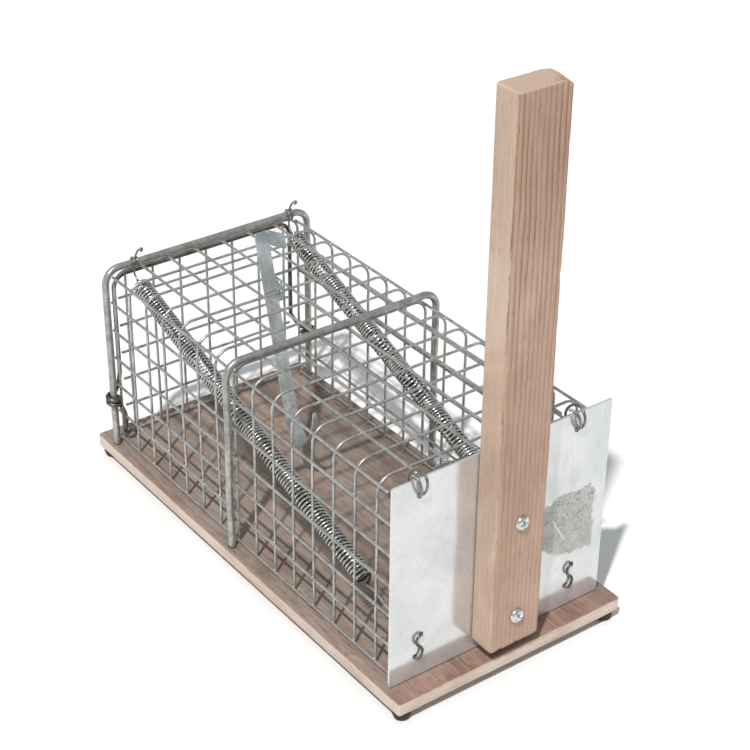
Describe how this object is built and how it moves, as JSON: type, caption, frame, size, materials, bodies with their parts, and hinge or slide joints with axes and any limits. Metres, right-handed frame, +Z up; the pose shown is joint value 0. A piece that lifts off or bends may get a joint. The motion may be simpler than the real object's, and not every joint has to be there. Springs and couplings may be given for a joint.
{
  "type": "live catch trap",
  "caption": "Wire mesh live catch trap on a wooden board, with a sprung sheet door, a wooden setting lever and a bait trigger.",
  "frame": {"origin": "centre of the bounding box's footprint, on the surface the feet stand on", "axes": "+X to the right seen from the door, +Y from the door to the mesh end wall, +Z up"},
  "size_m": [0.1038, 0.2156, 0.2265],
  "materials": {
    "board_wood": "rough",
    "batten_wood": "planed",
    "galvanised_sheet": "galvanised",
    "galvanised_wire": "galvanised",
    "dark_wire": "weathered",
    "screw_steel": "plated",
    "foot_rubber": "matte"
  },
  "bodies": {
    "cage": {"base_board": "board_wood", "foot_near_left": "foot_rubber", "foot_near_right": "foot_rubber", "foot_far_left": "foot_rubber", "foot_far_right": "foot_rubber", "hoop_far": "galvanised_wire", "hoop_middle": "galvanised_wire", "frame_near": "galvanised_wire", "mesh_left": "galvanised_wire", "mesh_top": "galvanised_wire", "mesh_right": "galvanised_wire", "mesh_end": "galvanised_wire", "end_frame_wire": "dark_wire", "spring_tie_left": "galvanised_wire", "spring_tie_right": "galvanised_wire", "lashing_near": "galvanised_wire"},
    "door": {"door_plate": "galvanised_sheet", "door_stick": "batten_wood", "screw_lower": "screw_steel", "screw_upper": "screw_steel", "nut_lower": "screw_steel", "nut_upper": "screw_steel", "hinge_ring_left": "galvanised_wire", "hinge_ring_right": "galvanised_wire", "door_tie_left": "dark_wire", "door_tie_right": "dark_wire"},
    "trigger": {"trigger_strip": "galvanised_sheet"},
    "spring_left": {"spring_left": "galvanised_wire"},
    "spring_tail_left": {"spring_tail_left": "galvanised_wire"},
    "spring_right": {"spring_right": "galvanised_wire"},
    "spring_tail_right": {"spring_tail_right": "galvanised_wire"}
  },
  "joints": [
    {"name": "door_hinge", "type": "hinge", "parent": "cage", "child": "door", "pos_m": [-0.0026, -0.09153, 0.0904], "axis": [-1, 0, 0], "range_deg": [0, 90], "stiffness_Nm_per_rad": 0.35, "springref_deg": -51.57},
    {"name": "trigger_pivot", "type": "hinge", "parent": "cage", "child": "trigger", "pos_m": [-0.0017, 0.04672, 0.0882], "axis": [1, 0, 0], "range_deg": [-15, 22]},
    {"name": "spring_left_swing", "type": "hinge", "parent": "cage", "child": "spring_left", "pos_m": [-0.036, 0.09647, 0.0858], "axis": [-1, 0.0048, 0.0047], "range_deg": [0, 19.52]},
    {"name": "spring_left_stretch", "type": "slide", "parent": "spring_left", "child": "spring_tail_left", "axis": [-0.006, -0.9502, -0.3117], "range_m": [0, 0.05595], "deforming": ["spring_left"]},
    {"name": "spring_right_swing", "type": "hinge", "parent": "cage", "child": "spring_right", "pos_m": [0.038, 0.09647, 0.0858], "axis": [-0.9994, 0.0249, 0.0241], "range_deg": [0, 19.52]},
    {"name": "spring_right_stretch", "type": "slide", "parent": "spring_right", "child": "spring_tail_right", "axis": [-0.0312, -0.9497, -0.3115], "range_m": [0, 0.05593], "deforming": ["spring_right"]}
  ],
  "couplings": [
    {"joint": "spring_left_swing", "follows": "door_hinge", "ratio": 0.21579},
    {"joint": "spring_left_stretch", "follows": "door_hinge", "m_per_rad": 0.035492},
    {"joint": "spring_right_swing", "follows": "door_hinge", "ratio": 0.21576},
    {"joint": "spring_right_stretch", "follows": "door_hinge", "m_per_rad": 0.035479}
  ]
}
